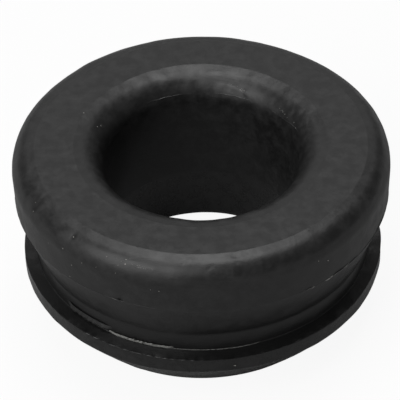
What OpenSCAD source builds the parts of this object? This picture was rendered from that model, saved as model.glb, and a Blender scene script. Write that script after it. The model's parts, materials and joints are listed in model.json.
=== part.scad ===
// Rubber grommet: a moulded ring that snaps into a round panel hole and grips a tube in its bore.
// Frame: Z is the bore's axis, Z = 0 is the lead-in flange's flat foot, and the head is at the top.

/* [Panel neck] */
// Diameter of the groove floor, which the panel's hole closes on (mm)
neck_d = 32.5; // [27:0.1:60]
// Height of the groove, which takes the panel's thickness (mm)
groove_w = 1.9; // [1:0.1:5]

/* [Flat top] */
// Tilt at which the shoulder and the lip leave the flat top (degrees)
top_crease = 14; // [2:1:20]

/* [Head] */
// How far the head stands out past the groove floor, all round (mm)
head_lap = 1.75; // [1.2:0.05:6]
// Height of the head's outer wall, shoulder included (mm)
head_h = 5.15; // [3.5:0.05:12]
// How far the wall draws in from the shoulder down to its lower edge, to leave the mould (mm)
head_taper = 0.06; // [0:0.02:0.5]
// How far the shoulder reaches down the head's wall and over its flat top (mm)
shoulder_reach = 2.2; // [0.3:0.1:3.2]
// Height of the conical seat between the head's wall and the groove (mm)
seat_h = 4.45; // [1:0.05:12]

/* [Lead-in flange] */
// How far the flange's rim stands out past the groove floor, all round (mm)
flange_lap = 1.15; // [0.6:0.05:4]
// How much the flange's upper face falls from the groove to the rim (mm)
flange_fall = 0.35; // [0:0.05:0.8]
// Height of the flange's straight rim (mm)
rim_h = 1.5; // [0.8:0.1:4]
// Radius of the rim's two edges (mm)
rim_edge_r = 0.1; // [0.05:0.05:0.3]
// Height of the lead-in cone below the rim (mm)
lead_h = 4.3; // [2:0.1:10]
// How far the lead-in cone draws in from the rim to the foot (mm)
lead_in = 3.5; // [0.5:0.1:4.2]
// Radius of the edge between the lead-in cone and the foot (mm)
nose_edge_r = 0.4; // [0.1:0.1:0.6]

/* [Bore] */
// Diameter of the straight bore (mm)
bore_d = 18.7; // [8:0.1:22.5]
// How far the rounded lip reaches down the bore and over the flat top (mm)
lip_reach = 2.75; // [0.5:0.05:3.5]
// Radius of the rounded edge where the bore opens into the foot (mm)
foot_r = 1.2; // [0.2:0.1:2]

/* [Hidden] */
$fn = 128;

// Straight steps in the arc of a small edge, and in the arc of the shoulder or the lip
edge_steps = 6;
round_steps = 16;

neck_r = neck_d / 2;
bore_r = bore_d / 2;
head_r = neck_r + head_lap;
seat_r = head_r - head_taper;
flange_r = neck_r + flange_lap;
nose_r = flange_r - lead_in;

rim_top_z = lead_h + rim_h;
flange_z = rim_top_z + flange_fall;
seat_z = flange_z + groove_w;
head_z = seat_z + seat_h;
top_z = head_z + head_h;

// Slopes of the flange's two sloping sides, in degrees from level
lead_slope = atan2(lead_h, lead_in);
fall_slope = atan2(flange_fall, flange_lap);

function along(angle, distance) = distance * [cos(angle), sin(angle)];

// Points of the arc of radius r that rounds a corner of the section. Seen from the corner, its two
// sides run in directions a and b, and the material lies counter-clockwise from a to b.
function edge_arc(corner, a, b, r, steps = edge_steps) =
    let (
        centre = corner + along((a + b) / 2, r / sin((b - a) / 2)),
        turn = 180 - (b - a)
    )
    [for (i = [0:steps]) centre + along(b + 90 + turn * i / steps, r)];

// What comes off the square corner between the bore and the foot to leave its round.
module foot_corner_cut() {
    translate([bore_r, 0])
        difference() {
            square(foot_r);
            translate([foot_r, foot_r])
                circle(foot_r);
        }
}

// The shoulder and the lip leave the flat top at a crease and slope down from it at top_crease. Their slope
// meets the upright side this far below the top, and the arc between the two has this radius. It then ends
// as far down the upright side as the crease lies from it.
function slope_fall(reach) = reach * tan(top_crease);
function slope_arc_r(reach) = reach * (cos(top_crease) - sin(top_crease)) / (1 - sin(top_crease));

// One side of the ring's section, counter-clockwise: X is the radius and Y the height.
module outline() {
    shoulder_corner = [head_r, top_z - slope_fall(shoulder_reach)];
    lip_corner = [bore_r, top_z - slope_fall(lip_reach)];
    polygon([
        [bore_r, 0],
        each edge_arc([nose_r, 0], lead_slope, 180, nose_edge_r),
        each edge_arc([flange_r, lead_h], 90, 180 + lead_slope, rim_edge_r),
        each edge_arc([flange_r, rim_top_z], 180 - fall_slope, 270, rim_edge_r),
        [neck_r, flange_z],
        [neck_r, seat_z],
        [seat_r, head_z],
        each edge_arc(shoulder_corner, 180 - top_crease, 270, slope_arc_r(shoulder_reach), round_steps),
        [head_r - shoulder_reach, top_z],
        [bore_r + lip_reach, top_z],
        each edge_arc(lip_corner, -90, top_crease, slope_arc_r(lip_reach), round_steps),
    ]);
}

module section() {
    difference() {
        outline();
        foot_corner_cut();
    }
}

module grommet() {
    color("#232325")
        rotate_extrude()
            section();
}

grommet();
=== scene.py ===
"""Rubber grommet: the moulded ring's skin, with the flash and dust on it, and the studio it stands in.

Lengths are in metres unless a comment says mm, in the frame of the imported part: Z is the bore's axis and
Z = 0 the floor.
"""

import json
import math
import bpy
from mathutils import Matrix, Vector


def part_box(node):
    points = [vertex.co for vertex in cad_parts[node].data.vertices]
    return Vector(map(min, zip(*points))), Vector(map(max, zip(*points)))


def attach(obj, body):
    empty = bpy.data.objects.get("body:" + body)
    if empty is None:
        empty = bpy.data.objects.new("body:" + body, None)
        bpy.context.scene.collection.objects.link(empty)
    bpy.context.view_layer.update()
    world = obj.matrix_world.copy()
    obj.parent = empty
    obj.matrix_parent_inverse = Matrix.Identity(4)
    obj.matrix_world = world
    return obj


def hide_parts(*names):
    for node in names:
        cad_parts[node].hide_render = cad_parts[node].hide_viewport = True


bl_info = {
    "name": "Rubber grommet",
    "version": (1, 0, 0),
    "blender": (4, 5, 0),
    "location": "3D View > Sidebar > Grommet",
    "description": "Builds a moulded rubber grommet and its studio around the packed part",
    "category": "Add Mesh",
}

from typing import NamedTuple

import bpy
import numpy as np
from bpy.props import FloatProperty, FloatVectorProperty, IntProperty, PointerProperty
from mathutils import Matrix, Vector

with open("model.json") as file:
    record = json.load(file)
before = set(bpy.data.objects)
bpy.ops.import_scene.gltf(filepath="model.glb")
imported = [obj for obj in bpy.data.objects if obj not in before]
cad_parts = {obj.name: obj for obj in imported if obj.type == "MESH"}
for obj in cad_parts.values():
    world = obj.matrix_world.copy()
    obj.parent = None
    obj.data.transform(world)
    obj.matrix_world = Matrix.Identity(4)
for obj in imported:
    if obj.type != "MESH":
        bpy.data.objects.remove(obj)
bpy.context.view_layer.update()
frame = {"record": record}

MM = 0.001
NODE = "grommet"
BODY = "root"

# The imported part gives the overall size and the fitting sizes.
MOUNTS = {mount["name"]: mount for mount in frame["record"]["mounts"]}
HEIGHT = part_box(NODE)[1].z
HEAD_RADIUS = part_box(NODE)[1].x
BORE_RADIUS = MOUNTS["bore"]["dims"]["r_mm"] * MM
BORE_LENGTH = MOUNTS["bore"]["dims"]["length_mm"] * MM
BORE_MIDDLE = MOUNTS["bore"]["pos_m"][2]
NECK_RADIUS = MOUNTS["panel_groove"]["dims"]["r_mm"] * MM
GROOVE_HEIGHT = MOUNTS["panel_groove"]["dims"]["length_mm"] * MM
GROOVE_MIDDLE = MOUNTS["panel_groove"]["pos_m"][2]
GROOVE_LOW = GROOVE_MIDDLE - GROOVE_HEIGHT / 2
GROOVE_HIGH = GROOVE_MIDDLE + GROOVE_HEIGHT / 2


def length(name, description, default):
    """A length property in metres, shown to a hundredth of a millimetre."""
    return FloatProperty(name=name, description=description, default=default, unit="LENGTH", precision=5)


def share_of_one(name, description, default):
    """A property from 0 to 1."""
    return FloatProperty(name=name, description=description, default=default, min=0, max=1)


def power(name, description, default):
    """A lamp's power in watts."""
    return FloatProperty(name=name, description=description, default=default, min=0)


def colour(name, description, default):
    """A colour property, from six hexadecimal digits of sRGB."""
    return FloatVectorProperty(
        name=name, description=description, default=hex_colour(default), subtype="COLOR_GAMMA", size=3,
        min=0, max=1,
    )


def hex_colour(text):
    """Three numbers from 0 to 1 for a colour written as six hexadecimal digits."""
    return tuple(int(text[i : i + 2], 16) / 255 for i in (0, 2, 4))


class RingSize(bpy.types.PropertyGroup):
    """The ring's section"""

    height: length("Height", "From the foot to the flat top", HEIGHT)
    head_radius: length("Head radius", "Radius of the head's wall where the shoulder meets it", HEAD_RADIUS)
    head_wall: length("Head wall", "Height of the head's wall, shoulder included", 5.15 * MM)
    head_taper: length("Head taper", "How far the wall draws in towards its lower edge", 0.06 * MM)
    shoulder: length("Shoulder", "How far the shoulder reaches down the wall and over the top", 2.2 * MM)
    crease: FloatProperty(
        name="Crease", description="Tilt at which the shoulder and the lip leave the flat top",
        subtype="ANGLE", default=math.radians(14),
    )
    neck_radius: length("Neck radius", "Radius of the groove's floor", NECK_RADIUS)
    groove_low: length("Groove foot", "Height of the groove's lower corner", GROOVE_LOW)
    groove_high: length("Groove top", "Height of the groove's upper corner", GROOVE_HIGH)
    rim_radius: length("Rim radius", "Radius of the flange's straight rim", 17.4 * MM)
    rim_low: length("Rim foot", "Height of the rim's lower edge", 4.3 * MM)
    rim_high: length("Rim top", "Height of the rim's upper edge", 5.8 * MM)
    nose_radius: length("Nose radius", "Radius of the lead-in cone at the foot", 13.9 * MM)
    bore_radius: length("Bore radius", "Radius of the straight bore", BORE_RADIUS)
    lip_width: length(
        "Lip width", "How far the lip reaches over the flat top", HEIGHT - BORE_MIDDLE - BORE_LENGTH / 2
    )
    ridge_height: length("Ridge height", "Height of the parting ridge inside the lip", 16.0 * MM)
    foot_radius: length("Foot radius", "Round between the bore and the foot", BORE_MIDDLE - BORE_LENGTH / 2)
    steps_around: IntProperty(
        name="Steps around", description="Faces side by side in one turn of the ring", default=590, min=48
    )


class Relief(bpy.types.PropertyGroup):
    """How far the moulded skin strays from its section"""

    sway: length("Sway", "Typical height of the slow swells, 6 to 22 mm long", 0.02 * MM)
    dimple: length("Dimples", "Typical height of the dimples, one to four millimetres long", 0.01 * MM)
    ragged: length("Ragged edge", "Typical wander of the flange's trimmed edge", 0.03 * MM)
    flash_height: length(
        "Flash height", "Size of the flap at the groove, which stands out by 0.8 of this on average",
        0.42 * MM,
    )
    seed: IntProperty(name="Seed", description="Seed of every chance shape", default=7)


class Finish(bpy.types.PropertyGroup):
    """The rubber's finish"""

    rubber: colour("Rubber", "Colour of the rubber", "191919")
    bloom: colour("Bloom", "Colour of the rubber where its wax has bloomed", "2b2b2b")
    torn: colour("Torn", "Colour of the rubber where its flash is torn", "949491")
    dust: colour("Dust", "Colour of the dust", "b9b7b2")
    roughness: share_of_one("Roughness", "Roughness of the moulded skin", 0.43)
    flange_polish: share_of_one("Flange polish", "How much less rough all below the groove is", 0.12)
    gloss_index: FloatProperty(
        name="Index", description="Index of refraction of the rubber", default=1.5, min=1, max=2
    )


class Studio(bpy.types.PropertyGroup):
    """The floor, lamps and camera"""

    board: colour("Board", "Colour of the floor as it lights the ring", "aaaaaa")
    board_seen: colour("Board as seen", "Colour of the floor in the picture", "fcfcfc")
    lift: share_of_one("Lift", "How much of the floor's picture is plain white", 0.92)
    surroundings: share_of_one("Surroundings", "Strength of the light from all round", 0.02)
    gloss_lift: share_of_one("Lift in the gloss", "How much white the gloss sees all round", 0.1)
    overhead: power("Overhead", "Power of the softbox overhead", 1.7)
    front_left: power("Front left", "Power of the softbox at front left", 1.78)
    high_left: power("High front left", "Power of the softbox high at front left", 0.57)
    behind: power("Behind", "Power of the low softbox behind", 0.5)
    camera_distance: length("Camera distance", "From the middle of the ring to the camera", 236.6 * MM)
    camera_elevation: FloatProperty(
        name="Camera elevation", description="Height of the camera above the horizon",
        subtype="ANGLE", default=math.radians(41.175),
    )
    camera_roll: FloatProperty(
        name="Camera roll", description="Turn of the camera about its line of sight",
        subtype="ANGLE", default=math.radians(-1.26),
    )
    lens: FloatProperty(name="Lens", description="Focal length in millimetres", default=219.3)
    aim_side: length("Aim to the side", "How far left of the axis the camera aims", 0.22 * MM)
    aim_above: length("Aim above", "How far above the ring's middle the camera aims", 1.2 * MM)


# ---------------------------------------------------------------- shapes


class Corner(NamedTuple):
    """A corner of the section: where it is, how far its round reaches along both sides, and its steps."""

    radius: float
    height: float
    reach: float
    arc_steps: int
    side_steps: int


class Fold(NamedTuple):
    """A low fold of skin along the lip or the shoulder: the turns in degrees it runs between, its heights
    at both of them, how far it stands out and its half width, all in mm"""

    on_lip: bool
    turns: tuple
    heights: tuple
    rise: float
    half_width: float


class Patch(NamedTuple):
    """A stretch of skin and how many marks lie on it: its turns in degrees, its radii and heights in mm"""

    turns: tuple
    radii: tuple
    heights: tuple
    count: int


# Where marks lie: the radii of the wall and of the shoulder, and the height of the flat top, in mm.
WALL = (17.9, 18.1)
SHOULDER = (16.2, 17.8)
TOP = (17.6, 17.7)

# Circles on which the lengths of chance waves are right: over the whole skin, and along one line round it.
SKIN_RADIUS = 15 * MM
LINE_RADIUS = 17 * MM

# Faces side by side in one turn of a line of flash.
FLASH_STEPS = 2400

FOLDS = (
    Fold(True, (60, 78), (16.45, 16.9), 0.05, 0.3),
    Fold(False, (-113, -103), (17.05, 16.9), 0.025, 0.3),
)

NICKED = (
    Patch((-97, -95), SHOULDER, (17.3, 17.45), 1),
    Patch((-92, -86), SHOULDER, (17.1, 17.4), 1),
    Patch((-82, -70), SHOULDER, (17.2, 17.6), 2),
    Patch((-135, -128), SHOULDER, (17.0, 17.3), 1),
    Patch((-130, -110), WALL, (12.6, 13.5), 4),
    Patch((5, 35), (10, 11), (16.6, 17.4), 5),
    Patch((-30, 10), (13, 15), TOP, 3),
    Patch((155, 175), (12, 13.5), TOP, 2),
    Patch((-160, -145), SHOULDER, (17, 17.6), 2),
)

DUSTY = (
    Patch((-155, -110), (17, 18.1), (15, 17.2), 12),
    Patch((-150, -90), WALL, (12.6, 15), 4),
    Patch((-90, -80), (17.3, 17.5), (4.4, 5.2), 2),
    Patch((-60, -50), WALL, (14.5, 15.5), 2),
    Patch((150, 168), (10, 12.8), (16.6, 17.7), 3),
)

# Pale specks on the shoulder: partly scuffs, and packed into a patch that paints a brighter piece of its
# highlight.
SCUFFS_AND_PAINTED_HIGHLIGHT = (
    Patch((-112, -105), SHOULDER, (16.85, 17.05), 44),
    Patch((-124, -112), SHOULDER, (16.9, 17.3), 4),
)


def scatter(patches, section, rng):
    """Chance places on the skin: for each mark, a turn in radians and the index of a section point."""
    radius, height = section.T / MM
    turns, points = [], []
    for patch in patches:
        inside = (patch.radii[0] <= radius) & (radius <= patch.radii[1])
        inside &= (patch.heights[0] <= height) & (height <= patch.heights[1])
        turns.append(np.radians(rng.uniform(*patch.turns, patch.count)))
        points.append(rng.choice(np.flatnonzero(inside), patch.count))
    return np.concatenate(turns), np.concatenate(points)


def rounded_outline(corners):
    """Closed outline with rounded corners, as rows of radius and height.

    Each round is a circle's arc that touches both sides at its reach from the corner. With t running over
    the angle it turns through, its points are centre + arc radius * (first spoke * cos t + heading * sin t).
    The sides between the rounds are divided more finely towards their ends, t = (1 - cos(pi s)) / 2.
    """
    points = np.array([(corner.radius, corner.height) for corner in corners])
    reach = np.array([corner.reach for corner in corners])[:, None]
    to_last = np.roll(points, 1, axis=0) - points
    to_next = np.roll(points, -1, axis=0) - points
    to_last /= np.linalg.norm(to_last, axis=1, keepdims=True)
    to_next /= np.linalg.norm(to_next, axis=1, keepdims=True)
    starts = points + to_last * reach
    ends = points + to_next * reach

    # The angle between the sides gives the arc's radius, and the arc's centre lies on their bisector.
    between = np.arccos(np.clip((to_last * to_next).sum(axis=1), -1, 1))
    arc_radius = reach[:, 0] * np.tan(between / 2)
    bisector = to_last + to_next
    bisector /= np.linalg.norm(bisector, axis=1, keepdims=True)
    centres = points + bisector * (arc_radius / np.sin(between / 2))[:, None]

    stretches = []
    for i, corner in enumerate(corners):
        spoke = (starts[i] - centres[i]) / arc_radius[i]
        t = np.linspace(0, math.pi - between[i], corner.arc_steps + 1)[:, None]
        arc = centres[i] + arc_radius[i] * (spoke * np.cos(t) - to_last[i] * np.sin(t))
        t = 0.5 - 0.5 * np.cos(np.linspace(0, math.pi, corner.side_steps + 1)[1:-1, None])
        stretches += [arc, ends[i] * (1 - t) + starts[(i + 1) % len(corners)] * t]
    return np.concatenate(stretches)


def ring_section(size):
    """The ring's section, counter-clockwise from the bore's foot, as rows of radius and height.

    The shoulder and the lip leave the flat top at a crease. A short cone runs down from it at the crease's
    tilt and meets the wall, or the bore, in a round that ends as far down as the crease is in.
    """
    seat_radius = size.head_radius - size.head_taper
    fall = math.tan(size.crease)
    shoulder_reach = size.shoulder * (1 - fall)
    overhang = size.head_taper * shoulder_reach / (size.head_wall - size.shoulder)
    tight = 0.03 * MM
    corners = [
        Corner(size.bore_radius, 0, size.foot_radius, 8, 5),
        Corner(size.nose_radius, 0, 0.2 * MM, 4, 12),
        Corner(size.rim_radius, size.rim_low, 0.1 * MM, 3, 5),
        Corner(size.rim_radius, size.rim_high, 0.01 * MM, 1, 7),
        Corner(size.neck_radius, size.groove_low, tight, 1, 9),
        Corner(size.neck_radius, size.groove_high, 0.2 * MM, 3, 15),
        Corner(seat_radius, size.height - size.head_wall, tight, 2, 10),
        Corner(size.head_radius + overhang, size.height - size.shoulder * fall, shoulder_reach, 20, 4),
        Corner(size.head_radius - size.shoulder, size.height, tight, 2, 12),
        Corner(size.bore_radius + size.lip_width, size.height, tight, 2, 4),
        Corner(
            size.bore_radius, size.height - size.lip_width * fall, size.lip_width * (1 - fall), 28, 8,
        ),
    ]
    return rounded_outline(corners)


def section_normals(section):
    """Outward normals of a closed counter-clockwise section: each chord, turned a quarter clockwise."""
    chord = np.roll(section, -1, axis=0) - np.roll(section, 1, axis=0)
    normals = np.column_stack((chord[:, 1], -chord[:, 0]))
    return normals / np.linalg.norm(normals, axis=1, keepdims=True)


def distance_along(section):
    """How far each point of a closed section lies along it from the first, and its whole length."""
    steps = np.linalg.norm(np.roll(section, -1, axis=0) - section, axis=1)
    return np.concatenate(([0], np.cumsum(steps)[:-1])), steps.sum()


def waves(turns, place, whole, longest, shortest, count, rng):
    """Chance surface of typical height 1, over turns and places along a closed line of length `whole`.

    It is the sum of `count` waves, height * cos(m turn + n place + phase), scaled to that height. The waves'
    heights are in proportion to their lengths, which lie between longest and shortest and are right on a
    circle of SKIN_RADIUS. Each wave fits both closed directions a whole number of times, so that nothing
    shows where the ring closes.
    """
    spacing = shortest * (longest / shortest) ** rng.random(count)
    heading = rng.random(count) * 2 * math.pi
    phase = rng.random(count) * 2 * math.pi
    m = np.round(2 * math.pi * SKIN_RADIUS * np.cos(heading) / spacing)
    n = np.round(whole * np.sin(heading) / spacing) * 2 * math.pi / whole
    height = spacing / spacing.max()
    total = np.einsum(
        "k,kt,ks->ts", height, np.exp(1j * (m[:, None] * turns + phase[:, None])),
        np.exp(1j * n[:, None] * place), optimize=True,
    ).real
    return total / math.sqrt((height**2).sum() / 2)


def wander(turns, longest, shortest, count, rng):
    """Chance line of typical height 1 round a closed turn: a scaled sum of `count` cos(m turn + phase).

    Their lengths lie between longest and shortest, and are right on a circle of LINE_RADIUS.
    """
    spacing = shortest * (longest / shortest) ** rng.random(count)
    m = np.maximum(np.round(2 * math.pi * LINE_RADIUS / spacing), 1)
    phase = rng.random(count) * 2 * math.pi
    return np.cos(m[:, None] * turns + phase[:, None]).sum(axis=0) / math.sqrt(count / 2)


def hump(values, low, high, edge):
    """1 between low and high and 0 outside, with smooth slopes of width `edge` (half a cosine each)."""
    rise = np.clip((values - low) / edge + 0.5, 0, 1)
    fall = np.clip((high - values) / edge + 0.5, 0, 1)
    return (0.5 - 0.5 * np.cos(math.pi * rise)) * (0.5 - 0.5 * np.cos(math.pi * fall))


def curved_side(size, section, on_lip):
    """Which section points lie in the lip, or else in the shoulder, from its foot up."""
    radius, height = section.T
    if on_lip:
        inside = (radius < size.bore_radius + size.lip_width) & (height > size.height - size.lip_width)
        return np.flatnonzero(inside)[::-1]
    inside = (radius > size.head_radius - size.shoulder) & (height > size.height - size.shoulder)
    return np.flatnonzero(inside)


def turn_gap(turns, bearing):
    """Signed turn from a bearing, from minus half a turn to half a turn, in radians."""
    return (turns - bearing + math.pi) % (2 * math.pi) - math.pi


def skin_relief(size, relief, section, turns):
    """How far the skin stands out from the section, on a grid of turns and section points.

    It adds slow swells, dimples, the folds, the nicks (each a bell, exp(-(u/long)^2 - (v/wide)^2)) and the
    wander of the flange's trimmed edge, and fades to nothing at the foot, which stays flat.
    """
    rng = np.random.default_rng(relief.seed)
    place, whole = distance_along(section)
    radius, height = section.T
    total = relief.sway * waves(turns, place, whole, longest=22 * MM, shortest=6 * MM, count=36, rng=rng)
    # The polished core pin leaves the bore almost free of dimples.
    moulded = np.clip((radius - size.bore_radius) / (0.8 * MM), 0.15, 1)
    dimples = waves(turns, place, whole, longest=4 * MM, shortest=1.1 * MM, count=70, rng=rng)
    total += relief.dimple * moulded * dimples

    bearings = np.degrees(turn_gap(turns, 0))
    for fold in FOLDS:
        side = curved_side(size, section, fold.on_lip)
        middle = np.interp(np.interp(bearings, fold.turns, fold.heights) * MM, height[side], place[side])
        shape = np.exp(-(((place[None, :] - middle[:, None]) / (fold.half_width * MM)) ** 2))
        uneven = 1 + 0.2 * wander(turns, longest=3 * MM, shortest=1.2 * MM, count=30, rng=rng)
        run = hump(bearings, *fold.turns, edge=6) * uneven
        total += fold.rise * MM * run[:, None] * shape

    for bearing, middle in zip(*scatter(NICKED, section, rng)):
        long, wide = rng.uniform(0.3, 0.6) * MM, rng.uniform(0.13, 0.2) * MM
        lean = rng.uniform(-1, 1) * math.pi / 2
        across = turn_gap(turns, bearing)[:, None] * radius[middle]
        down = (place - place[middle])[None, :]
        u = (across * math.cos(lean) + down * math.sin(lean)) / long
        v = (down * math.cos(lean) - across * math.sin(lean)) / wide
        # The nicks low on the wall are the deepest.
        depth = rng.uniform(0.03, 0.055) * MM * (2 if height[middle] < 14 * MM else 1)
        total -= depth * np.exp(-(u**2) - v**2)

    trim_width = 0.25 * MM
    near = np.exp(-((np.hypot(radius - size.rim_radius, height - size.rim_high) / trim_width) ** 2))
    trimmed = wander(turns, longest=5 * MM, shortest=0.8 * MM, count=40, rng=rng)
    ragged = relief.ragged * hump(bearings, -150, -30, edge=30) * trimmed
    total += ragged[:, None] * near
    return total * np.clip(height / (0.6 * MM) - 0.2, 0, 1)


def revolved(name, radius, height, turns, smooth=True):
    """Mesh of a closed section carried once round Z.

    radius and height are grids of (turn, place in the section), so the section may change as it goes
    round; point = (radius cos turn, radius sin turn, height). Both directions close on themselves.
    """
    around, along = radius.shape
    points = np.stack(
        (radius * np.cos(turns)[:, None], radius * np.sin(turns)[:, None], height), axis=-1
    ).reshape(-1, 3)
    index = np.arange(around * along).reshape(around, along)
    onward = np.roll(index, -1, axis=0)
    faces = np.stack(
        (index, onward, np.roll(onward, -1, axis=1), np.roll(index, -1, axis=1)), axis=-1
    ).reshape(-1, 4)
    return mesh_object(name, points, faces, smooth)


def mesh_object(name, points, faces, smooth=True):
    """Object at the origin, with a mesh whose faces have equally many corners, shaded smooth or flat."""
    mesh = bpy.data.meshes.new(name)
    sides = faces.shape[1]
    mesh.vertices.add(len(points))
    mesh.vertices.foreach_set("co", points.astype(np.float32).ravel())
    mesh.loops.add(faces.size)
    mesh.loops.foreach_set("vertex_index", faces.astype(np.int32).ravel())
    mesh.polygons.add(len(faces))
    mesh.polygons.foreach_set("loop_start", np.arange(0, faces.size, sides, dtype=np.int32))
    mesh.polygons.foreach_set("use_smooth", np.full(len(faces), smooth))
    mesh.update(calc_edges=True)
    mesh.validate()
    piece = bpy.data.objects.new(name, mesh)
    bpy.context.scene.collection.objects.link(piece)
    return piece


def bead(name, turns, radius, height, direction, rise, half_width, sink):
    """Raised line carried round the ring: a low fin on a skin, with a section of five points.

    At each turn its crest stands `rise` out from (radius, height) in `direction` (degrees from outwards
    towards up). Its base lies `sink` behind that place and runs `half_width` to either side. Where the rise
    is -sink, the whole fin lies at its base. radius, height and rise hold one number, or one for each turn.
    The fin is shaded flat, so its crest shows as an edge.
    """
    across = np.array([-1, -0.45, 0, 0.45, 1])
    up = np.array([0, 0.8, 1, 0.8, 0])
    radius, height, rise = (np.broadcast_to(value, turns.shape)[:, None] for value in (radius, height, rise))
    lift = up * (rise + sink) - sink
    shift = across * half_width
    cosine, sine = math.cos(math.radians(direction)), math.sin(math.radians(direction))
    grid_radius = radius + lift * cosine - shift * sine
    grid_height = height + lift * sine + shift * cosine
    return revolved(name, grid_radius, grid_height, turns, smooth=False)


def specks(name, places, sizes, rng):
    """Many small lumps in one mesh: each is a squashed ball of 3 rings of 6 points and 2 poles.

    Point = centre + size * stretch * (1 + 0.35 chance) * (cos a cos b, sin a cos b, 0.6 sin b). The stretch
    is 0.6 to 1.5 by chance, along each axis of each lump, and the other chance is -1 to 1 for each point.
    """
    around, rings = 6, 3
    a = np.arange(around) * 2 * math.pi / around
    b = np.linspace(-math.pi / 2, math.pi / 2, rings + 2)[1:-1]
    flat, up = np.cos(b)[:, None], np.sin(b)[:, None]
    ball = np.stack((np.cos(a) * flat, np.sin(a) * flat, np.repeat(up, around, 1)), axis=-1).reshape(-1, 3)
    ball = np.concatenate((ball, [(0, 0, -1), (0, 0, 1)])) * (1, 1, 0.6)
    count, one = len(places), len(ball)
    rough = 1 + 0.35 * rng.uniform(-1, 1, (count, one, 1))
    stretch = rng.uniform(0.6, 1.5, (count, 1, 3))
    points = places[:, None, :] + ball * rough * stretch * sizes[:, None, None]

    index = np.arange(rings * around).reshape(rings, around)
    onward = np.roll(index, -1, axis=1)
    low, high = rings * around, rings * around + 1
    quads = np.stack((index[:-1], onward[:-1], onward[1:], index[1:]), axis=-1).reshape(-1, 4)
    faces = np.concatenate((
        quads[:, [0, 1, 2]], quads[:, [0, 2, 3]],
        np.stack((onward[0], index[0], np.full(around, low)), axis=-1),
        np.stack((index[-1], onward[-1], np.full(around, high)), axis=-1),
    ))
    faces = (faces[None] + (np.arange(count) * one)[:, None, None]).reshape(-1, 3)
    return mesh_object(name, points.reshape(-1, 3), faces)


def on_ring(turn, radius, height):
    """Points at these turns, radii and heights."""
    return np.column_stack((radius * np.cos(turn), radius * np.sin(turn), height))


# ---------------------------------------------------------------- materials

# A Mix node has two inputs and an output for each kind of value. These are the ones for colours.
MIX_FIRST, MIX_SECOND, MIX_RESULT = 6, 7, 2


def linear(colour):
    """Linear value of an sRGB colour given as three numbers from 0 to 1."""
    encoded = np.array(colour[:3])
    value = np.where(encoded <= 0.04045, encoded / 12.92, ((encoded + 0.055) / 1.055) ** 2.4)
    return (*value.tolist(), 1.0)


def add_node(tree, kind, links=None, **settings):
    """A new node. Settings name its properties or, where it has none such, its inputs."""
    node = tree.nodes.new(kind)
    for name, value in settings.items():
        if hasattr(node, name):
            setattr(node, name, value)
        else:
            node.inputs[name.replace("_", " ")].default_value = value
    for name, source in (links or {}).items():
        tree.links.new(source, node.inputs[name])
    return node


def calculate(tree, operation, *values):
    """Result of a Math node on sockets and plain numbers."""
    node = add_node(tree, "ShaderNodeMath", operation=operation)
    for place, value in zip(node.inputs, values):
        if isinstance(value, bpy.types.NodeSocket):
            tree.links.new(value, place)
        else:
            place.default_value = value
    return node.outputs["Value"]


def ramp(tree, value, start, end, first=0.0, last=1.0):
    """Runs evenly from first to last as the value runs from start to end, and is level beyond them."""
    return add_node(
        tree, "ShaderNodeMapRange", {"Value": value}, From_Min=start, From_Max=end, To_Min=first, To_Max=last
    ).outputs["Result"]


def mixed(tree, share, first, second):
    """A colour between two sRGB colours: the first where the share is 0 and the second where it is 1."""
    tint = add_node(tree, "ShaderNodeMix", {"Factor": share}, data_type="RGBA")
    tint.inputs[MIX_FIRST].default_value = linear(first)
    tint.inputs[MIX_SECOND].default_value = linear(second)
    return tint.outputs[MIX_RESULT]


def new_material(name):
    """An empty node material and its tree."""
    material = bpy.data.materials.new(name)
    material.use_nodes = True
    material.node_tree.nodes.clear()
    return material, material.node_tree


def outside_painted_groove_shade(tree, place):
    """1 outside the groove and 0 in it: the groove gets no bloom, which paints shade into it.

    It goes from one to the other between 0.4 and 1.2 mm above and below the groove, and between 1 and 2 mm
    inside its floor, so that the bore keeps its bloom.
    """
    parts = add_node(tree, "ShaderNodeSeparateXYZ", {"Vector": place}).outputs
    flat = add_node(tree, "ShaderNodeCombineXYZ", {"X": parts["X"], "Y": parts["Y"]})
    radius = add_node(tree, "ShaderNodeVectorMath", {0: flat.outputs["Vector"]}, operation="LENGTH")
    inside = ramp(tree, radius.outputs["Value"], NECK_RADIUS - 2 * MM, NECK_RADIUS - 1 * MM, 1.0, 0.0)
    away = calculate(tree, "ABSOLUTE", calculate(tree, "SUBTRACT", parts["Z"], GROOVE_MIDDLE))
    beyond = ramp(tree, away, GROOVE_HEIGHT / 2 + 0.4 * MM, GROOVE_HEIGHT / 2 + 1.2 * MM)
    return calculate(tree, "MAXIMUM", inside, beyond)


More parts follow.
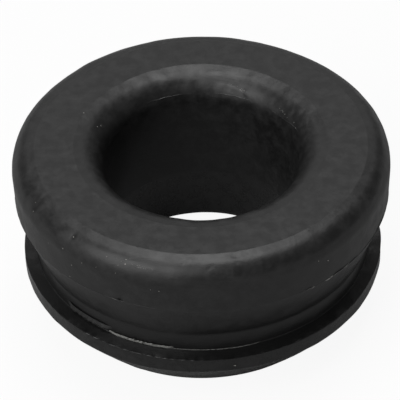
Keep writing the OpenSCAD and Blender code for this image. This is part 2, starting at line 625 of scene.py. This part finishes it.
def moulded_rubber(finish):
    """Nitrile rubber filled with carbon black, compression moulded.

    The mould's blasted steel gives it an even satin skin, which is smoother below the groove. Wax and zinc
    salts bloom through it in faint patches, greyer and duller than the rubber. The groove is left without
    them, which paints shade into it: it stays the darker plain rubber.
    """
    material, tree = new_material("moulded nitrile rubber")
    place = add_node(tree, "ShaderNodeTexCoord").outputs["Object"]
    # Bloom lies in patches about 1 mm across.
    bloom = add_node(tree, "ShaderNodeTexNoise", {"Vector": place}, Scale=900.0, Detail=6.0, Roughness=0.65)
    patches = ramp(tree, bloom.outputs["Fac"], 0.42, 0.72)
    # The bloom is left out of the groove, which paints shade there.
    share = calculate(tree, "MULTIPLY", patches, outside_painted_groove_shade(tree, place))
    dull = ramp(tree, share, 0.0, 1.0, finish.roughness - 0.05, finish.roughness + 0.09)
    above = add_node(tree, "ShaderNodeSeparateXYZ", {"Vector": place}).outputs["Z"]
    polish = ramp(tree, above, GROOVE_LOW, GROOVE_LOW + 0.1 * MM, finish.flange_polish, 0.0)
    # Blasted steel leaves a grain near 0.05 mm, drawn at 0.15 mm, the finest that shows.
    grain = add_node(tree, "ShaderNodeTexNoise", {"Vector": place}, Scale=6500.0, Detail=2.0)
    # Flow of the rubber in the mould leaves it faintly pebbled at about 0.4 mm.
    pebble = add_node(tree, "ShaderNodeTexNoise", {"Vector": place}, Scale=2400.0, Detail=4.0)
    fine = add_node(
        tree, "ShaderNodeBump", {"Height": grain.outputs["Fac"]}, Strength=0.25, Distance=0.006 * MM
    )
    both = add_node(
        tree, "ShaderNodeBump", {"Height": pebble.outputs["Fac"], "Normal": fine.outputs["Normal"]},
        Strength=0.5, Distance=0.034 * MM,
    )
    shader = add_node(
        tree, "ShaderNodeBsdfPrincipled",
        {
            "Base Color": mixed(tree, share, finish.rubber, finish.bloom),
            "Roughness": calculate(tree, "SUBTRACT", dull, polish),
            "Normal": both.outputs["Normal"],
        },
        IOR=finish.gloss_index,
    )
    add_node(tree, "ShaderNodeOutputMaterial", {"Surface": shader.outputs["BSDF"]})
    return material


def torn_rubber(finish):
    """The same rubber where flash was torn away: a matt, crumbly break, whitened by stretching.

    Only part of it is pale: it breaks up into crumbs about 0.3 mm across.
    """
    material, tree = new_material("torn nitrile flash")
    place = add_node(tree, "ShaderNodeTexCoord").outputs["Object"]
    crumbs = add_node(tree, "ShaderNodeTexNoise", {"Vector": place}, Scale=3200.0, Detail=3.0)
    tint = mixed(tree, ramp(tree, crumbs.outputs["Fac"], 0.3, 0.52), finish.rubber, finish.torn)
    shader = add_node(tree, "ShaderNodeBsdfPrincipled", {"Base Color": tint}, Roughness=0.75)
    add_node(tree, "ShaderNodeOutputMaterial", {"Surface": shader.outputs["BSDF"]})
    return material


def workshop_dust(finish):
    """Specks of lint and talc, matt and pale, with a faint mottle 0.1 mm across."""
    material, tree = new_material("workshop dust")
    place = add_node(tree, "ShaderNodeTexCoord").outputs["Object"]
    mottle = add_node(tree, "ShaderNodeTexNoise", {"Vector": place}, Scale=9000.0, Detail=2.0)
    darker = tuple(0.7 * value for value in finish.dust)
    tint = mixed(tree, mottle.outputs["Fac"], darker, finish.dust)
    shader = add_node(tree, "ShaderNodeBsdfPrincipled", {"Base Color": tint}, Roughness=0.9)
    add_node(tree, "ShaderNodeOutputMaterial", {"Surface": shader.outputs["BSDF"]})
    return material


def seen_past(tree):
    """Two sockets: 1 for the camera's own rays, and 1 for rays that gloss or glass sends on."""
    rays = add_node(tree, "ShaderNodeLightPath").outputs
    past = calculate(tree, "MAXIMUM", rays["Is Glossy Ray"], rays["Is Transmission Ray"])
    return rays["Is Camera Ray"], past


def studio_floor(studio):
    """Matt paper board. The camera sees it lifted almost to white, and what is left keeps the shadow.

    Gloss and glass see it lifted too, but only beyond 10 to 25 cm. Nearer, the lift would be light from
    under the ring, on the very surfaces that the ring shades.
    """
    material, tree = new_material("pale board")
    camera, past = seen_past(tree)
    place = add_node(tree, "ShaderNodeTexCoord").outputs["Object"]
    away = add_node(tree, "ShaderNodeVectorMath", {0: place}, operation="LENGTH")
    far = ramp(tree, away.outputs["Value"], 0.10, 0.25)
    shown = calculate(tree, "MAXIMUM", camera, calculate(tree, "MULTIPLY", past, far))
    lift = calculate(tree, "MULTIPLY", shown, studio.lift)
    tint = mixed(tree, camera, studio.board, studio.board_seen)
    board = add_node(tree, "ShaderNodeBsdfDiffuse", {"Color": tint})
    white = add_node(tree, "ShaderNodeEmission", Strength=1.0)
    lifted = add_node(
        tree, "ShaderNodeMixShader", {0: lift, 1: board.outputs["BSDF"], 2: white.outputs["Emission"]}
    )
    add_node(tree, "ShaderNodeOutputMaterial", {"Surface": lifted.outputs["Shader"]})
    return material


def surroundings(studio):
    """Even light from all round, white to the camera and part white to gloss and glass."""
    world = bpy.data.worlds.new("studio")
    world.use_nodes = True
    tree = world.node_tree
    tree.nodes.clear()
    camera, past = seen_past(tree)
    shown = calculate(tree, "MAXIMUM", camera, calculate(tree, "MULTIPLY", past, studio.gloss_lift))
    around, white = (
        add_node(tree, "ShaderNodeBackground", Strength=strength, Color=(1, 1, 1, 1)).outputs["Background"]
        for strength in (studio.surroundings, 1.0)
    )
    lifted = add_node(tree, "ShaderNodeMixShader", {0: shown, 1: around, 2: white})
    add_node(tree, "ShaderNodeOutputWorld", {"Surface": lifted.outputs["Shader"]})
    return world


def softbox(name, power, elevation, bearing, distance, width, depth):
    """Rectangular softbox that faces the ring's foot.

    Its elevation and bearing are in degrees, and the bearing runs from the far side round by the right.
    """
    rise, turn = math.radians(elevation), math.radians(bearing)
    level = math.cos(rise)
    place = distance * Vector((level * math.sin(turn), level * math.cos(turn), math.sin(rise)))
    lamp = bpy.data.lights.new(name, "AREA")
    lamp.shape = "RECTANGLE"
    lamp.size, lamp.size_y = width, depth
    lamp.energy = power
    holder = bpy.data.objects.new(name, lamp)
    holder.matrix_world = Matrix.Translation(place) @ place.to_track_quat("Z", "Y").to_matrix().to_4x4()
    bpy.context.scene.collection.objects.link(holder)


# ---------------------------------------------------------------- operators


def place_piece(piece, material):
    """Give a piece its material, and make it part of the rubber ring."""
    piece.data.materials.append(material)
    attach(piece, BODY)


class GROMMET_OT_ring(bpy.types.Operator):
    """Build the ring's moulded skin"""

    bl_idname = "grommet.ring"
    bl_label = "Ring"

    def execute(self, context):
        size, relief = context.scene.grommet_size, context.scene.grommet_relief
        section = ring_section(size)
        turns = np.linspace(0, 2 * math.pi, size.steps_around, endpoint=False)
        out = skin_relief(size, relief, section, turns)
        normals = section_normals(section)
        radius = section[:, 0] + out * normals[:, 0]
        height = section[:, 1] + out * normals[:, 1]
        ring = revolved("ring_skin", radius, height, turns)
        # A bend sharper than 40 degrees shades as an edge.
        ring.data.set_sharp_from_angle(angle=math.radians(40))
        place_piece(ring, moulded_rubber(context.scene.grommet_finish))
        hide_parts(NODE)
        return {"FINISHED"}


class GROMMET_OT_flash(bpy.types.Operator):
    """Build the flash that the mould's joints left: at the groove, at the head's edge and in the lip"""

    bl_idname = "grommet.flash"
    bl_label = "Flash"

    def execute(self, context):
        scene = context.scene
        size, relief, finish = scene.grommet_size, scene.grommet_relief, scene.grommet_finish
        rng = np.random.default_rng(relief.seed + 1)
        turns = np.linspace(0, 2 * math.pi, FLASH_STEPS, endpoint=False)
        bearing = np.degrees(turn_gap(turns, 0))
        rubber, torn = bpy.data.materials["moulded nitrile rubber"], torn_rubber(finish)

        # A thin torn line of flash runs round the front of the groove's foot. At front left the flash is a
        # flap, which hangs from the groove's floor and leans outwards. Outside its stretch, each piece at
        # the groove is buried 0.1 mm or more.
        jagged = wander(turns, longest=3 * MM, shortest=0.5 * MM, count=60, rng=rng)
        low = hump(bearing, -122, -68, edge=22)
        place_piece(bead(
            "groove_flash", turns, size.neck_radius + (0.05 - 0.3 * (1 - low)) * MM, size.groove_low,
            direction=65, rise=low * (0.05 + 0.012 * jagged) * MM, half_width=0.025 * MM, sink=0.06 * MM,
        ), torn)
        flap = hump(bearing, -142, -122, edge=7)
        place_piece(bead(
            "groove_flap", turns, size.neck_radius - 0.3 * (1 - flap) * MM,
            size.groove_low + 1.2 * relief.flash_height, direction=-35,
            rise=flap * relief.flash_height * (0.8 + 0.08 * jagged), half_width=0.3 * MM, sink=0.06 * MM,
        ), rubber)

        # Beyond the flap the flash is torn off, which leaves a pale crumbly line.
        crumbly = wander(turns, longest=1.5 * MM, shortest=0.35 * MM, count=80, rng=rng)
        line = hump(bearing, -124, -100, edge=7)
        place_piece(bead(
            "groove_torn_flash", turns, size.neck_radius + (0.08 - 0.4 * (1 - line)) * MM,
            size.groove_low + 0.1 * MM, direction=65, rise=line * (0.2 + 0.05 * crumbly) * MM,
            half_width=0.1 * MM, sink=0.06 * MM,
        ), torn)

        # The mould's halves met at the head's lower edge: a faint ragged line, which almost vanishes at
        # front left and is torn at front right.
        ragged = wander(turns, longest=6 * MM, shortest=0.8 * MM, count=60, rng=rng)
        wall_radius = size.head_radius - size.head_taper
        edge = size.height - size.head_wall
        faint = 1 - 0.9 * hump(bearing, -155, -100, edge=12)
        place_piece(bead(
            "parting_flash", turns, wall_radius, edge + 0.04 * MM * ragged, direction=-10,
            rise=0.012 * MM * (1 + 0.9 * ragged) * faint, half_width=0.06 * MM, sink=0.03 * MM,
        ), rubber)
        patchy = wander(turns, longest=3 * MM, shortest=0.8 * MM, count=40, rng=rng)
        bits = hump(bearing, -57, -43, edge=4) * np.clip(0.5 + 0.5 * patchy, 0, 2)
        place_piece(bead(
            "parting_torn_flash", turns, wall_radius - 0.02 * MM, edge - 0.06 * MM, direction=-30,
            rise=0.06 * MM * bits - 0.03 * MM * (bits == 0), half_width=0.09 * MM, sink=0.05 * MM,
        ), torn)

        # The core pin's joint leaves a ridge inside the lip at the far side, which climbs at its right end.
        section = ring_section(size)
        lip_radius, lip_height = section[curved_side(size, section, on_lip=True)].T
        wavy = wander(turns, longest=9 * MM, shortest=2 * MM, count=30, rng=rng)
        shown = hump(bearing, 17, 116, edge=14)
        climb = 0.3 * hump(bearing, 5, 27, edge=16)
        height = size.ridge_height + (0.015 * wavy + climb) * MM
        rise = shown * 0.022 * MM * (1 + 0.3 * wavy) - 0.02 * MM * (1 - shown)
        place_piece(bead(
            "lip_flash", turns, np.interp(height, lip_height, lip_radius), height, direction=155, rise=rise,
            half_width=0.06 * MM, sink=0.03 * MM,
        ), rubber)
        return {"FINISHED"}


class GROMMET_OT_specks(bpy.types.Operator):
    """Build the dust on the head and rim, and pale specks on the lip and shoulder: crumbs and scuffs, part
    of them packed into painted highlights
    """

    bl_idname = "grommet.specks"
    bl_label = "Crumbs and dust"

    def execute(self, context):
        scene = context.scene
        rng = np.random.default_rng(scene.grommet_relief.seed + 2)
        size = scene.grommet_size
        section = ring_section(size)
        bearing, points = scatter(DUSTY, section, rng)
        sizes = rng.uniform(0.04, 0.06, len(points)) * MM
        dust = specks("dust", on_ring(bearing, *section[points].T), sizes, rng)
        place_piece(dust, workshop_dust(scene.grommet_finish))

        # Crumbs torn from the core pin's joint cling to the far lip, most of them in a band on its fold. The
        # band lies on the lip's highlight, and its pale crumbs are partly a painted highlight there.
        count, banded = 64, 54
        band_on_highlight, strays = rng.normal(67, 3, count), rng.uniform(10, 45, count)
        degrees = np.where(np.arange(count) < banded, band_on_highlight, strays)
        height = (16.7 + 0.025 * np.clip(degrees - 69, -9, 9) + rng.normal(0, 0.07, count)) * MM
        lip_radius, lip_height = section[curved_side(size, section, on_lip=True)].T
        crumbs = on_ring(np.radians(degrees), np.interp(height, lip_height, lip_radius), height)
        torn = bpy.data.materials["torn nitrile flash"]
        place_piece(specks("lip_crumbs", crumbs, rng.uniform(0.02, 0.045, count) * MM, rng), torn)

        # The shoulder is scuffed at front left. Most of the pale specks are packed tightly where the
        # shoulder's highlight lies, so they are partly a painted highlight.
        bearing, points = scatter(SCUFFS_AND_PAINTED_HIGHLIGHT, section, rng)
        scuffs = on_ring(bearing, *section[points].T)
        place_piece(specks("scuffs", scuffs, rng.uniform(0.02, 0.045, len(points)) * MM, rng), torn)
        return {"FINISHED"}


class GROMMET_OT_studio(bpy.types.Operator):
    """Build the floor, the lamps, the surroundings and the camera"""

    bl_idname = "grommet.studio"
    bl_label = "Studio"

    def execute(self, context):
        scene = context.scene
        studio = scene.grommet_studio
        side = 1.5
        corners = np.array([(-side, -side, 0), (side, -side, 0), (side, side, 0), (-side, side, 0)], float)
        floor = mesh_object("floor", corners, np.array([[0, 1, 2, 3]]))
        floor.data.materials.append(studio_floor(studio))
        scene.world = surroundings(studio)
        softbox(
            "overhead softbox", studio.overhead,
            elevation=78, bearing=0, distance=0.6, width=0.35, depth=0.35,
        )
        softbox(
            "front left softbox", studio.front_left,
            elevation=35, bearing=225, distance=0.6, width=0.5, depth=0.5,
        )
        softbox(
            "high front left softbox", studio.high_left,
            elevation=57, bearing=220, distance=0.6, width=0.3, depth=0.3,
        )
        softbox(
            "softbox behind", studio.behind,
            elevation=30, bearing=0, distance=0.8, width=0.8, depth=0.4,
        )
        scene.camera = self.camera(scene, studio)
        scene.view_settings.view_transform = "Standard"
        return {"FINISHED"}

    def camera(self, scene, studio):
        """Camera on the sphere round the ring's middle, aimed a little above and beside it."""
        data = bpy.data.cameras.new("camera")
        # The lens and the sensor are in mm.
        data.lens = studio.lens
        data.sensor_width = 36
        data.clip_start, data.clip_end = 0.01, 10
        rise, roll = studio.camera_elevation, studio.camera_roll
        forward = Vector((0, math.cos(rise), -math.sin(rise)))
        right = Vector((1, 0, 0))
        up = right.cross(forward)
        right, up = (
            right * math.cos(roll) + up * math.sin(roll),
            up * math.cos(roll) - right * math.sin(roll),
        )
        middle = Vector((0, 0, HEIGHT / 2))
        place = middle - forward * studio.camera_distance
        aim = middle + up * studio.aim_above - right * studio.aim_side
        forward = (aim - place).normalized()
        right = (right - forward * right.dot(forward)).normalized()
        up = right.cross(forward)
        turn = Matrix((right, up, -forward)).transposed().to_4x4()
        camera = bpy.data.objects.new("camera", data)
        camera.matrix_world = Matrix.Translation(place) @ turn
        scene.collection.objects.link(camera)
        return camera


class GROMMET_PT_panel(bpy.types.Panel):
    """The steps that build the grommet, in order"""

    bl_idname = "GROMMET_PT_panel"
    bl_label = "Grommet"
    bl_space_type = "VIEW_3D"
    bl_region_type = "UI"
    bl_category = "Grommet"

    def draw(self, context):
        for operator in OPERATORS:
            self.layout.operator(operator.bl_idname)


OPERATORS = (GROMMET_OT_ring, GROMMET_OT_flash, GROMMET_OT_specks, GROMMET_OT_studio)
GROUPS = {
    "grommet_size": RingSize,
    "grommet_relief": Relief,
    "grommet_finish": Finish,
    "grommet_studio": Studio,
}


def register():
    for group in GROUPS.values():
        bpy.utils.register_class(group)
    for name, group in GROUPS.items():
        setattr(bpy.types.Scene, name, PointerProperty(type=group))
    for operator in OPERATORS:
        bpy.utils.register_class(operator)
    bpy.utils.register_class(GROMMET_PT_panel)


def unregister():
    bpy.utils.unregister_class(GROMMET_PT_panel)
    for operator in reversed(OPERATORS):
        bpy.utils.unregister_class(operator)
    for name, group in GROUPS.items():
        delattr(bpy.types.Scene, name)
        bpy.utils.unregister_class(group)


def main():
    """Register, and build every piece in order."""
    register()
    bpy.ops.grommet.ring()
    bpy.ops.grommet.flash()
    bpy.ops.grommet.specks()
    bpy.ops.grommet.studio()


if __name__ == "__main__":
    main()
